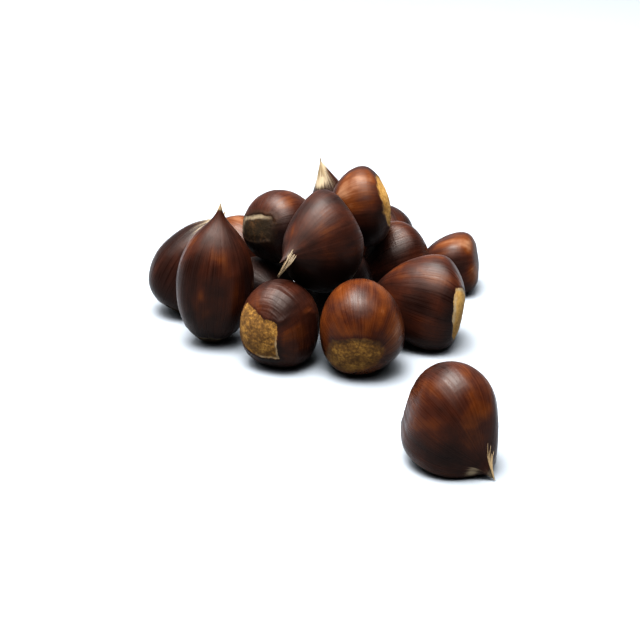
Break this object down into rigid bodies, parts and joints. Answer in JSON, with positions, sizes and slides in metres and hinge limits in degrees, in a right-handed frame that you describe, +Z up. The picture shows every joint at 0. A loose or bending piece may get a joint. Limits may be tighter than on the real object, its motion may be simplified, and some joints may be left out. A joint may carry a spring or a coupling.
{
  "type": "heap of whole chestnuts",
  "caption": "Loose heap of whole chestnuts in glossy brown shells, each with a domed side, a rough pale base patch and a pointed tip, and one more lying in front.",
  "frame": {"origin": "on the surface that the heap lies on, under the middle of the whole group's box", "axes": "+Z up, -Y towards the lone chestnut in front and the viewer, +X to the viewer's right"},
  "size_m": [0.1214, 0.2016, 0.0556],
  "materials": {
    "shell_dark": "satin",
    "shell_red": "satin",
    "shell_tan": "satin"
  },
  "bodies": {
    "root": {"nut_back_centre": "shell_dark", "nut_back_left": "shell_red", "nut_back_right": "shell_dark", "nut_far_left": "shell_dark", "nut_far_right": "shell_tan", "nut_front_centre": "shell_red", "nut_front_left": "shell_dark", "nut_front_right": "shell_dark", "nut_inner": "shell_dark", "nut_left_inner": "shell_dark", "nut_lone_front": "shell_red", "nut_right_middle": "shell_dark", "nut_top_front": "shell_dark", "nut_top_left": "shell_dark", "nut_top_right": "shell_red", "nut_upright_back": "shell_dark", "nut_upright_left": "shell_dark"}
  },
  "joints": []
}
